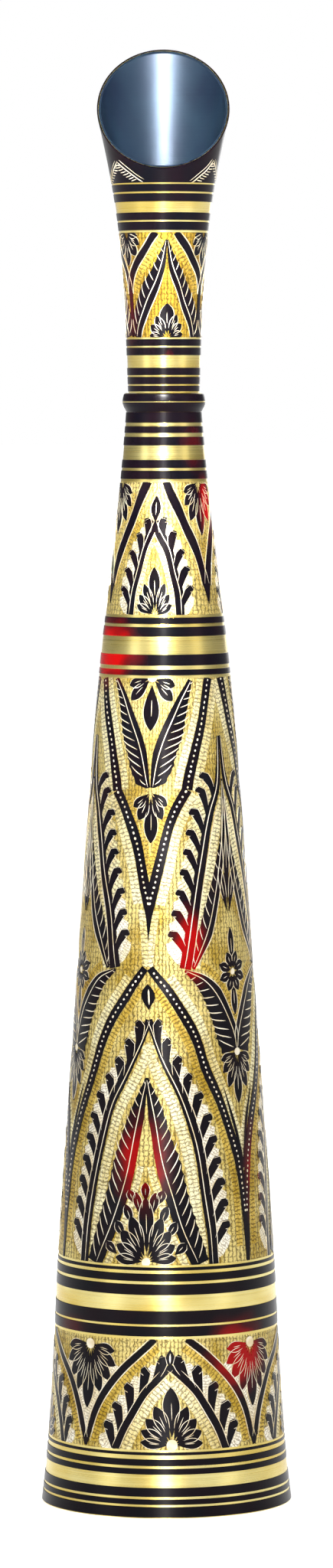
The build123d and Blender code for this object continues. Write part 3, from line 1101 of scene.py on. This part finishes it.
class VASE_OT_screw(bpy.types.Operator):
    """Threaded spigot of the neck and threaded bush of the body"""

    bl_idname = "vase.screw"
    bl_label = "Screw joint"

    def execute(self, context):
        segments = context.scene.vase_sizes.segments // 2
        depth = THREAD_MAJOR - THREAD_ROOT
        flank = math.tan(math.radians(30)) * depth
        crest = PITCH * 0.16
        male = np.linspace(THREAD_FOOT + 0.3, THREAD_TOP - 0.3, 70)
        swell = np.clip(np.minimum(male - male[0], male[-1] - male) / 0.6, 0, 1)
        plug = wall_heights(NECK_SECTION[0], PLUG_TOP)
        plug_radius = radius(plug) - COAT - WALL - HAIR
        spigot = [
            (SCREW_BORE, SCREW_FOOT, 0),
            (THREAD_ROOT - 0.3, SCREW_FOOT, 0),
            (THREAD_ROOT, SCREW_FOOT + 0.3, 0),
            *((THREAD_ROOT, z, depth * s) for z, s in zip(male, swell)),
            (THREAD_ROOT, SHANK_FOOT - 0.1, 0),
            (THREAD_MAJOR, SHANK_FOOT, 0),
            (THREAD_MAJOR, NECK_SECTION[0] + HAIR, 0),
            *((r, z + HAIR, 0) for r, z in zip(plug_radius, plug)),
            (SCREW_BORE, PLUG_TOP, 0),
        ]
        piece = make_piece(
            "neck_spigot",
            threaded_points(spigot, (crest, flank), segments),
            grid_quads(segments, len(spigot), True, True),
            [brass()],
            "neck",
            "brass",
        )
        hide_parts("threaded_spigot")
        female = np.linspace(COUNTERBORE_FOOT - 0.1, BUSH_FOOT + 0.1, 80)
        bush_top = UPPER_SECTION[1] - HAIR
        wall = wall_heights(BUSH_FOOT, bush_top)
        wall_radius = radius(wall) - COAT - WALL - HAIR
        hole = THREAD_ROOT + THREAD_CLEARANCE
        bush = [
            *((r, z, 0) for r, z in zip(wall_radius, wall)),
            (SHANK_BORE, bush_top, 0),
            (SHANK_BORE, COUNTERBORE_FOOT, 0),
            *((hole, z, depth) for z in female),
            (hole, BUSH_FOOT, 0),
        ]
        piece = make_piece(
            "body_bush",
            threaded_points(bush, (crest + THREAD_CLEARANCE, flank), segments),
            grid_quads(segments, len(bush), True, True),
            [brass()],
            "body",
            "brass",
        )
        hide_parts("threaded_bush")
        return {"FINISHED"}


class VASE_OT_inside(bpy.types.Operator):
    """Base plate and the sleeves behind the seams"""

    bl_idname = "vase.inside"
    bl_label = "Base plate and sleeves"

    def execute(self, context):
        segments = context.scene.vase_sizes.segments
        level = 6.0  # height of the plate's underside
        thick = 1.2  # of its sheet
        lip = 4.0  # depth of its turned-down edge
        rise = 3.0  # height of the step up to its middle
        dome = 30.0  # radius where the step starts
        pole = 0.05  # radius of the point left at the axis

        def wall(z):
            """Inner radius of the body's wall, less the room for braze."""
            return radius(z) - COAT - WALL - SLEEVE_FIT

        upper = level + thick
        climb = np.linspace(0, 1, 9)
        crown = [(dome - rise * t, upper + rise * (3 * t**2 - 2 * t**3)) for t in climb]
        hollow = [(r - thick * 0.8, z - thick) for r, z in crown[::-1]]
        plate = [
            (wall(level - lip), level - lip),
            (wall(upper), upper),
            *crown,
            (pole, upper + rise),
            (pole, level + rise),
            *hollow,
            (wall(level) - thick, level),
            (wall(level - lip) - thick, level - lip),
        ]
        piece = turned("foot_plate", [plate], brass(), "body", "brass", segments * 2 // 3)
        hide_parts("base_plate")
        sleeve_wall, sleeve_half = 1.0, 6.0
        seams = (("lower_seam_sleeve", MAIN_SECTION[0]), ("upper_seam_sleeve", UPPER_SECTION[0]))
        for name, seam in seams:
            rows = np.linspace(seam - sleeve_half, seam + sleeve_half, 9)
            face = np.stack([wall(rows), rows], -1)
            loop = np.concatenate([face, face[::-1] - (sleeve_wall, 0)])
            piece = turned(f"{name}_ring", [loop], brass(), "body", "brass", segments // 2)
            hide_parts(name)
        return {"FINISHED"}


class VASE_OT_lining(bpy.types.Operator):
    """Satin lining of the mouth, carried over the inner half of the rim"""

    bl_idname = "vase.lining"
    bl_label = "Mouth lining"

    def execute(self, context):
        segments = context.scene.vase_sizes.segments
        angle = np.linspace(0, 360, segments, endpoint=False)[:, None]
        low = group_foot(MOUTH_BANDS)
        share = np.linspace(0, 1, 44)[None, :]
        proud = 0.12  # how far the lining stands above the rim
        insets = (COAT + WALL + LINING, COAT + 0.5, COAT + WALL - HAIR)
        walls = []
        for inset, over in zip(insets, (proud, proud, 0.0)):
            top = rim_height(angle, inset) + over
            z = low + (top - low) * share
            walls.append(place(angle, z, -inset))
        inner, lip, back = walls
        loop = np.concatenate([back, lip[:, -1:], inner[:, ::-1]], 1)
        piece = make_piece(
            "mouth_lining",
            loop.reshape(-1, 3),
            grid_quads(segments, loop.shape[1], True, True),
            [finish("satin_lining", lining_lacquer)],
            "neck",
            "lining_lacquer",
        )
        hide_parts("mouth_lining_lacquer")
        return {"FINISHED"}


class VASE_OT_mouth_field(bpy.types.Operator):
    """Black coat outside the mouth, up to the slanted rim, with its few cut leaves"""

    bl_idname = "vase.mouth_field"
    bl_label = "Mouth field"

    def execute(self, context):
        segments = context.scene.vase_sizes.segments
        angle = np.linspace(0, 360, segments, endpoint=False)[:, None]
        low = MOUTH_BANDS[0]
        share = np.linspace(0, 1, 26)[None, :]
        top = rim_height(angle, 0.0)
        outer = place(angle, low + (top - 0.05 - low) * share, 0.0)
        lip = place(angle, rim_height(angle, COAT + 0.3) + 0.08, -COAT - 0.3)
        inner_top = rim_height(angle, COAT - HAIR)
        inner = place(angle, low + (inner_top - 0.1 - low) * share, -COAT + HAIR)
        loop = np.concatenate([outer, lip, inner[:, ::-1]], 1)
        points = loop.reshape(-1, 3)
        piece = make_piece(
            "mouth_field_coat",
            points,
            grid_quads(segments, loop.shape[1], True, True),
            [lacquer()],
            "neck",
            "black_lacquer",
            stain=stain_at(points),
        )
        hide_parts("mouth_field_lacquer")
        pattern = Pattern(4, 3, low, NECK_SECTION[1], 11)
        arm = pattern.run((0.45, low), (0.75, 556.0), (1.0, 561.0))
        pattern.line(arm, 0.0, 0.22)
        pattern.line(arm, 1.3, 0.12, end=0.95)
        for share in np.linspace(0.2, 0.9, 8):
            spots = arm.at((share + np.array([0.0, 0.06, 0.14])) * arm.length, (-0.4, -1.4, -2.6))
            pattern.stroke(spots, 0.17)
        pattern.build("mouth_field", "neck", "mouth_field_lacquer", field_finishes())
        return {"FINISHED"}


class VASE_OT_neck_field(bpy.types.Operator):
    """Cut field of the neck: three arches, each with a pair of feathers and a palmette"""

    bl_idname = "vase.neck_field"
    bl_label = "Neck field"

    def execute(self, context):
        low, high = NECK_BANDS[0], group_foot(MOUTH_BANDS)
        p = Pattern(4, 3, low, high, 1)
        arm = p.run((0.24, high), (0.58, 522.5), (0.90, 513.5), (1.0, 504), (1.0, low))
        p.band(arm, profile_of((0, 1.5), (0.5, 1.3), (0.75, 0.9), (1, 0.5)))
        p.line(arm, 1.75, end=0.62)
        p.line(arm, -1.75, end=0.62)
        p.band(arm, profile_of((0, 1.6), (0.45, 1.7), (1, 0.5)), 0.02, 0.62, shift=-3.5, kind="hatch")
        rib = p.run((0.02, 528), (0.18, 516), (0.46, 503.5), (0.74, 492.5), (0.82, low))
        outer = profile_of((0, 0.3), (0.2, 2.4), (0.5, 4.6), (0.8, 5.2), (1, 4.8))
        inner = profile_of((0, 0.6), (0.25, 2.0), (0.6, 2.4), (1, 2.4))
        p.feather(rib, outer, inner, 1, 11)
        p.line(rib, lambda s: -inner(s) - 0.2, 0.14, 0.3, 1.0)
        p.palmette(0, low, 1, ((0, 14.0, 2.6), (24, 10.0, 1.7), (50, 8.4, 1.8), (80, 7.0, 1.6)))
        p.palmette(1, high, -1, ((0, 14.0, 2.2), (30, 11.0, 2.0), (55, 8.5, 1.9), (80, 6.5, 1.6)))
        p.build("neck_field", "neck", "neck_field_lacquer", field_finishes(warm=True))
        return {"FINISHED"}


class VASE_OT_upper_field(bpy.types.Operator):
    """Cut field of the upper section: three arches with sprigs of hooked leaves"""

    bl_idname = "vase.upper_field"
    bl_label = "Upper field"

    def execute(self, context):
        low, high = MIDDLE_BANDS[0], group_foot(SHOULDER_BANDS)
        p = Pattern(-10, 3, low, high, 2)
        arm = p.run((0.19, high), (0.50, 413), (0.72, 403), (0.87, 394), (0.97, 384), (1.0, 376.5))
        p.band(arm, profile_of((0, 1.8), (0.6, 1.95), (0.85, 1.5), (1, TINY)))
        p.line(arm, 2.2, 0.1, end=0.85)
        p.line(arm, -2.2, 0.1, end=0.85)
        p.band(arm, 1.2, 0.02, 0.8, shift=-3.6, kind="amber")
        p.band(arm, 1.3, 0.12, 0.75, shift=3.5, kind="amber")
        ogive = p.run((0.0, 411), (0.13, 404.5), (0.24, 399), (0.335, 390.7), (0.42, 382), (0.435, low))
        p.band(ogive, 1.75)
        p.line(ogive, 0.5, 0.12)
        p.line(ogive, -1.95, 0.1, 0.1, 1.0)
        p.band(ogive, 0.8, 0.2, 1.0, shift=-3.1, kind="hatch")
        for way, reach in ((7.5, 3.4), (14.5, 4.6), (22.0, 5.2), (29.5, 5.4), (37.0, 5.0)):
            p.hook(ogive, way, 1, 6.6, reach, 1.7, block="silver")
        stem = p.run((0.0, 410.5), (0.0, 421.5))
        p.leaf(stem, 2.1)
        p.line(stem, 0.0, 0.14, 0.3, 0.75, mirror=False)
        for side in (-1, 1):
            bow = lambda s: side * (0.3 + 1.9 * np.sin(np.pi * np.clip(s, 0, 1)))
            p.line(stem, bow, 0.1, 0.05, 0.95, mirror=False)
        p.palmette(0, low, 1, ((0, 20.0, 2.3), (20, 14.0, 1.8), (40, 11.0, 1.8), (62, 9.0, 1.7)))
        p.palmette(1, high, -1, ((0, 22.0, 2.6), (18, 17.0, 2.1), (38, 12.5, 2.1), (62, 9.0, 1.9)))
        p.build("upper_field", "body", "upper_field_lacquer", field_finishes())
        return {"FINISHED"}


class VASE_OT_main_field(bpy.types.Operator):
    """Cut field of the main section: dotted arms that cross at a waist, feathers between them,
    stems of hooked leaves, and tall ogives below"""

    bl_idname = "vase.main_field"
    bl_label = "Main field"

    def execute(self, context):
        low, high = LOWER_BANDS[0], group_foot(MIDDLE_BANDS)
        p = Pattern(-11, 3, low, high, 3)
        self.upper_half(p, high)
        self.lower_half(p, low)
        p.build("main_field", "body", "main_field_lacquer", field_finishes())
        return {"FINISHED"}

    def upper_half(self, p, high):
        """From the top of the field down to the waist."""
        fall = p.run((0.873, high), (0.73, 330), (0.59, 316), (0.51, 306), (0.475, 299.5))
        turn = p.run((0.475, 299.5), (0.33, 291.5), (0.21, 282), (0.10, 268), (0.0, 252))
        tail = p.run((0.0, 254), (0.0, 237))
        for arm in (fall, turn):
            p.band(arm, 2.1)
            p.dots(arm)
        p.band(tail, profile_of((0, 2.6), (0.4, 1.2), (1, TINY)), mirror=False)
        waist = p.run((0.0, 250), (0.0, 226.5))
        p.band(waist, profile_of((0, 4.2), (1, 2.4)), mirror=False, kind="hatch")
        p.band(fall, 1.8, shift=4.1, kind="hatch")
        p.band(turn, 1.9, 0.0, 0.97, shift=4.2, kind="hatch")
        p.band(fall, 1.6, shift=-3.9, kind="hatch")
        p.band(turn, 1.2, 0.1, 0.75, shift=-3.3, kind="amber")
        rib = p.run((0.57, high - 0.5), (0.39, 336), (0.25, 326), (0.11, 313), (0.03, 300.5))
        outer = profile_of((0, 0.7), (0.25, 3.9), (0.5, 6.4), (0.8, 7.2), (0.94, 5.2), (1, 0.6))
        inner = profile_of((0, 1.2), (0.3, 2.2), (0.7, 2.6), (1, 1.0))
        p.feather(rib, outer, inner, 1, 13)
        p.palmette(0, high, -1, ((0, 22.0, 3.2), (42, 12.5, 2.4), (72, 10.0, 2.2)), 1.6)
        p.palmette(0, 299, -1, ((0, 21.0, 3.0), (24, 12.5, 2.2), (50, 9.5, 2.0)))
        stem = p.run((0.98, 322), (0.92, 303), (0.78, 290), (0.65, 271), (0.505, 250), (0.40, 226))
        p.band(stem, profile_of((0, 0.6), (0.2, 1.6), (0.6, 2.2), (1, 2.5)))
        p.line(stem, -0.3, 0.17)
        p.band(stem, 1.9, 0.25, 0.99, shift=4.6, kind="hatch")
        p.line(stem, 2.6, 0.14, 0.3, 0.98)
        for k in range(9):
            way = stem.length * (0.26 + 0.085 * k)
            finish_below = "silver" if k > 5 else "hatch"
            p.hook(stem, way, -1, 7.8, 8.2 - 0.1 * k, 1.85, block=finish_below)
        long = p.run((1.0, 304), (0.92, 276), (0.76, 250), (0.49, 226))
        outer = profile_of((0, 0.3), (0.3, 0.6), (0.5, 2.6), (0.7, 4.8), (0.92, 4.4), (1, 0.5))
        inner = profile_of((0, 0.4), (0.3, 1.7), (0.8, 2.6), (1, 0.8))
        p.feather(long, outer, inner, -1, 16)
        p.line(long, lambda s: inner(s) + 0.2, 0.14, 0.1, 0.98)
        p.palmette(1.0, 246, 1, ((0, 48.0, 2.2), (12, 22.0, 1.6)))
        self.flower(p, 1.0, 224, 8.5)
        p.palmette(1.0, 224, 1, ((0, 18.0, 1.8),))
        p.palmette(1.0, 224, -1, ((0, 18.0, 1.8),))

    def flower(self, p, share, z, length):
        """Eight pointed petals about a worked disc."""
        for k in range(8):
            p.petal(share * p.half, z, 45 * k + 22.5, length, 2.1, 0.55, mirror=False, root=0.2)
        p.palmette(share, z, 1, (), 1.3)

    def lower_half(self, p, low):
        """From the waist down to the foot of the field."""
        arch = p.run(
            (0.03, 226), (0.29, 212.5), (0.435, 203), (0.53, 194), (0.61, 184), (0.82, 162),
            (0.93, 145), (0.985, 125), (1.0, low),
        )
        p.band(arch, profile_of((0, 1.6), (0.1, 2.15), (0.7, 2.1), (1, 0.9)))
        p.dots(arch, end=0.84)
        p.band(arch, 1.8, 0.06, 0.72, shift=4.3, kind="hatch")
        p.band(arch, 1.6, 0.06, 0.95, shift=-4.1, kind="amber")
        wing = p.run((0.40, 225.5), (0.62, 221), (0.82, 211), (0.95, 200.5), (1.0, 192))
        outer = profile_of((0, 0.8), (0.2, 4.2), (0.5, 7.6), (0.85, 9.6), (1, 8.5))
        inner = profile_of((0, 0.4), (0.4, 2.8), (0.85, 2.0), (1, 0.4))
        p.feather(wing, outer, inner, -1, 11, lean=0.6)
        p.line(wing, lambda s: inner(s) + 0.2, 0.12, 0.05, 0.98)
        p.palmette(1.0, 191, -1, ((0, 22.0, 2.4), (20, 16.0, 2.2), (42, 12.0, 2.1), (66, 9.5, 1.9)), 1.6)
        valley = p.run((0.80, 176), (0.92, 160), (1.0, 142))
        p.band(valley, profile_of((0, TINY), (0.4, 0.7), (1, 0.6)))
        stem = p.run((0.0, 208.5), (0.0, 219.5))
        p.leaf(stem, 2.9)
        p.line(stem, -0.3, 0.3, 0.2, 0.8, mirror=False)
        ogive = p.run((0.0, 204.5), (0.20, 185), (0.40, 166.5), (0.525, 144), (0.60, 120), (0.625, low))
        p.band(ogive, profile_of((0, 1.4), (0.3, 1.9), (1, 2.2)))
        p.line(ogive, -0.5, 0.16)
        p.line(ogive, 2.35, 0.14, 0.2, 1.0)
        p.band(ogive, 2.2, 0.08, 1.0, shift=-4.8, kind="hatch")
        p.band(wing, 1.4, 0.05, 0.8, shift=4.6, kind="amber")
        for k in range(11):
            way = ogive.length * (0.10 + 0.083 * k)
            reach = min(7.6, 3.6 + 0.9 * k)
            p.hook(ogive, way, 1, 8.0, reach, 2.1, block="silver" if k > 1 else "hatch")
        rib = p.run((0.0, 181), (0.09, 162), (0.20, 140), (0.34, 119), (0.47, low))
        outer = profile_of((0, 0.6), (0.15, 3.6), (0.45, 7.4), (0.75, 7.2), (1, 5.4))
        inner = profile_of((0, 0.5), (0.2, 2.4), (0.6, 3.4), (1, 3.0))
        p.feather(rib, outer, inner, 1, 17)
        p.band(rib, 1.5, 0.45, 1.0, shift=-5.4, kind="hatch")
        petals = (
            (0, 27.0, 3.0), (20, 20.0, 2.7), (40, 17.0, 2.7), (60, 14.5, 2.6), (82, 13.0, 2.2),
        )
        p.palmette(0, low + 1, 1, petals, 1.8)
        for share, z, lean, length in (
            (0.05, 124, 12, 10), (0.12, 120, 24, 9), (0.19, 115, 34, 8), (0.26, 108, 46, 7),
            (0.0, 130, 0, 8), (0.12, 129, 20, 6),
        ):
            p.petal(share * p.half, z, lean, length, 1.9)


class VASE_OT_foot_field(bpy.types.Operator):
    """Cut field of the foot: four pointed arches, each over an ogive and a palmette"""

    bl_idname = "vase.foot_field"
    bl_label = "Foot field"

    def execute(self, context):
        low, high = FOOT_BANDS[0], group_foot(LOWER_BANDS)
        p = Pattern(2.5, 4, low, high, 4)
        arm = p.run((0.18, high), (0.41, 66), (0.69, 55.5), (0.89, 42.5), (1.0, 28))
        p.band(arm, profile_of((0, 1.3), (0.5, 1.4), (0.85, 1.2), (1, 0.6)))
        p.line(arm, 1.65, end=0.95)
        p.line(arm, -1.65, end=0.95)
        p.band(arm, 1.7, 0.35, 0.9, shift=3.6, kind="silver")
        p.band(arm, 1.6, 0.02, 0.95, shift=-3.5, kind="amber")
        ogive = p.run((0.0, 62), (0.13, 57.5), (0.315, 50), (0.495, 38.5), (0.61, low))
        p.band(ogive, profile_of((0, 1.2), (0.3, 1.4), (1, 1.7)))
        p.line(ogive, -1.6, 0.15)
        p.line(ogive, 1.75, 0.12, 0.1, 1.0)
        p.band(ogive, 2.0, 0.1, 1.0, shift=-4.0, kind="hatch")
        for way, reach in ((8.5, 4.6), (17.0, 6.6), (26.0, 7.6), (35.0, 8.0), (43.0, 7.6)):
            p.hook(ogive, way, 1, 8.2, reach, 2.3, block="silver")
        stem = p.run((0.0, 61.5), (0.0, 69))
        p.leaf(stem, 1.7)
        p.line(stem, 0.0, 0.3, 0.25, 0.8, mirror=False)
        petals = (
            (0, 24.0, 3.5), (24, 17.5, 2.8), (46, 15.5, 2.7), (66, 14.5, 2.5), (86, 13.5, 2.2),
        )
        p.palmette(0, low + 2.2, 1, petals, 2.4)
        petals = (
            (0, 27.0, 3.1), (17, 21.0, 2.7), (36, 18.0, 2.7), (57, 15.5, 2.6), (79, 13.0, 2.2),
        )
        p.palmette(1, high - 3.0, -1, petals, 2.2)
        p.build("foot_field", "body", "foot_field_lacquer", field_finishes())
        return {"FINISHED"}


def soft_light(name, place_at, aim, size, power, colour=(1, 1, 1)):
    """Rectangular soft light aimed at a point, unseen by the camera itself."""
    light = bpy.data.lights.new(name, "AREA")
    light.shape = "RECTANGLE"
    light.size, light.size_y = size
    light.energy = power
    light.color = colour
    lamp = bpy.data.objects.new(name, light)
    bpy.context.scene.collection.objects.link(lamp)
    lamp.location = place_at
    lamp.visible_camera = False
    way = Vector(aim) - Vector(place_at)
    lamp.rotation_euler = way.to_track_quat("-Z", "Y").to_euler()
    return light


def pale_floor():
    """Wide floor just below the vase, with its rows closer together near the middle: each goes
    out with the square of its share."""
    lines = 25
    side = np.linspace(-1, 1, lines)
    along = side * np.abs(side) * FLOOR_REACH
    x, y = np.meshgrid(along, along, indexing="ij")
    points = np.stack([x, y, 0 * x - FLOOR_DROP], -1).reshape(-1, 3)
    mesh = bpy.data.meshes.new("floor")
    mesh.from_pydata(points.tolist(), [], grid_quads(lines, lines).tolist())
    mesh.materials.append(finish("stage_white", stage_white))
    floor = bpy.data.objects.new("floor", mesh)
    bpy.context.scene.collection.objects.link(floor)


def pale_world(brightest):
    """Light from all round, full from the front and a third of that from behind, and plain
    white where the camera looks straight at it."""
    world = bpy.data.worlds.new("pale_studio")
    world.use_nodes = True
    bpy.context.scene.world = world
    tree = world.node_tree
    way = node(tree, "ShaderNodeTexCoord").outputs["Generated"]
    depth = node(tree, "ShaderNodeSeparateXYZ", {"Vector": way}).outputs["Y"]
    shade = {
        "Value": depth,
        "From Min": -0.8,
        "From Max": 0.3,
        "To Min": brightest,
        "To Max": 0.35 * brightest,
    }
    dim = node(tree, "ShaderNodeMapRange", shade).outputs[0]
    seen = node(tree, "ShaderNodeLightPath").outputs["Is Camera Ray"]
    background = tree.nodes["Background"]
    tree.links.new(math_node(tree, "MAXIMUM", seen, dim), background.inputs["Strength"])
    background.inputs["Color"].default_value = (1, 1, 1, 1)


def set_camera(stage):
    """Almost level camera that looks a little down at the vase."""
    camera = bpy.data.cameras.new("camera")
    camera.lens = stage.lens
    camera.sensor_width = 36
    camera.sensor_fit = "AUTO"
    camera.shift_y = CAMERA_SHIFT
    eye = bpy.data.objects.new("camera", camera)
    bpy.context.scene.collection.objects.link(eye)
    eye.location = (CAMERA_SIDE, -stage.camera_distance, stage.camera_height)
    aim = Vector((CAMERA_SIDE, 0, CAMERA_AIM_HEIGHT)) - eye.location
    lean = Matrix.Rotation(math.radians(CAMERA_LEAN), 4, "Z")
    eye.rotation_euler = (aim.to_track_quat("-Z", "Y").to_matrix().to_4x4() @ lean).to_euler()
    bpy.context.scene.camera = eye


class VASE_OT_stage(bpy.types.Operator):
    """Pale floor, soft lights and the camera"""

    bl_idname = "vase.stage"
    bl_label = "Stage"

    def execute(self, context):
        stage = context.scene.vase_stage
        pale_floor()
        pale_world(stage.world_light)
        for name, place_at, size, power, colour in SOFT_LIGHTS:
            soft_light(name, place_at, VASE_MIDDLE, size, power, colour)
        mouth_strip = soft_light("mouth_strip", (-0.02, -0.62, 1.02), MOUTH, (0.14, 0.5), 1.3)
        mouth_strip.spread = math.radians(22)
        set_camera(stage)
        context.scene.view_settings.view_transform = "Standard"
        return {"FINISHED"}


class VASE_PT_panel(bpy.types.Panel):
    """Buttons for the vase's pieces"""

    bl_idname = "VASE_PT_panel"
    bl_label = "Vase"
    bl_space_type = "VIEW_3D"
    bl_region_type = "UI"
    bl_category = "Vase"

    def draw(self, context):
        column = self.layout.column()
        scene = context.scene
        for settings in (scene.vase_sizes, scene.vase_colours, scene.vase_stage):
            for name in settings.__annotations__:
                column.prop(settings, name)
        for operator in OPERATORS:
            column.operator(operator.bl_idname)


OPERATORS = (
    VASE_OT_sections,
    VASE_OT_neck,
    VASE_OT_inside,
    VASE_OT_screw,
    VASE_OT_collar,
    VASE_OT_bands,
    VASE_OT_lining,
    VASE_OT_mouth_field,
    VASE_OT_neck_field,
    VASE_OT_upper_field,
    VASE_OT_main_field,
    VASE_OT_foot_field,
    VASE_OT_stage,
)
CLASSES = (VaseSizes, VaseColours, VaseStage, *OPERATORS, VASE_PT_panel)


def register():
    """Makes the settings, the operators and the panel known."""
    for cls in CLASSES:
        bpy.utils.register_class(cls)
    bpy.types.Scene.vase_sizes = bpy.props.PointerProperty(type=VaseSizes)
    bpy.types.Scene.vase_colours = bpy.props.PointerProperty(type=VaseColours)
    bpy.types.Scene.vase_stage = bpy.props.PointerProperty(type=VaseStage)


def unregister():
    """Takes back what register did."""
    del bpy.types.Scene.vase_sizes
    del bpy.types.Scene.vase_colours
    del bpy.types.Scene.vase_stage
    for cls in reversed(CLASSES):
        bpy.utils.unregister_class(cls)


def main():
    """Makes every piece and the stage."""
    register()
    bpy.ops.vase.sections()
    bpy.ops.vase.neck()
    bpy.ops.vase.inside()
    bpy.ops.vase.screw()
    bpy.ops.vase.collar()
    bpy.ops.vase.bands()
    bpy.ops.vase.lining()
    bpy.ops.vase.mouth_field()
    bpy.ops.vase.neck_field()
    bpy.ops.vase.upper_field()
    bpy.ops.vase.main_field()
    bpy.ops.vase.foot_field()
    bpy.ops.vase.stage()


if __name__ == "__main__":
    main()
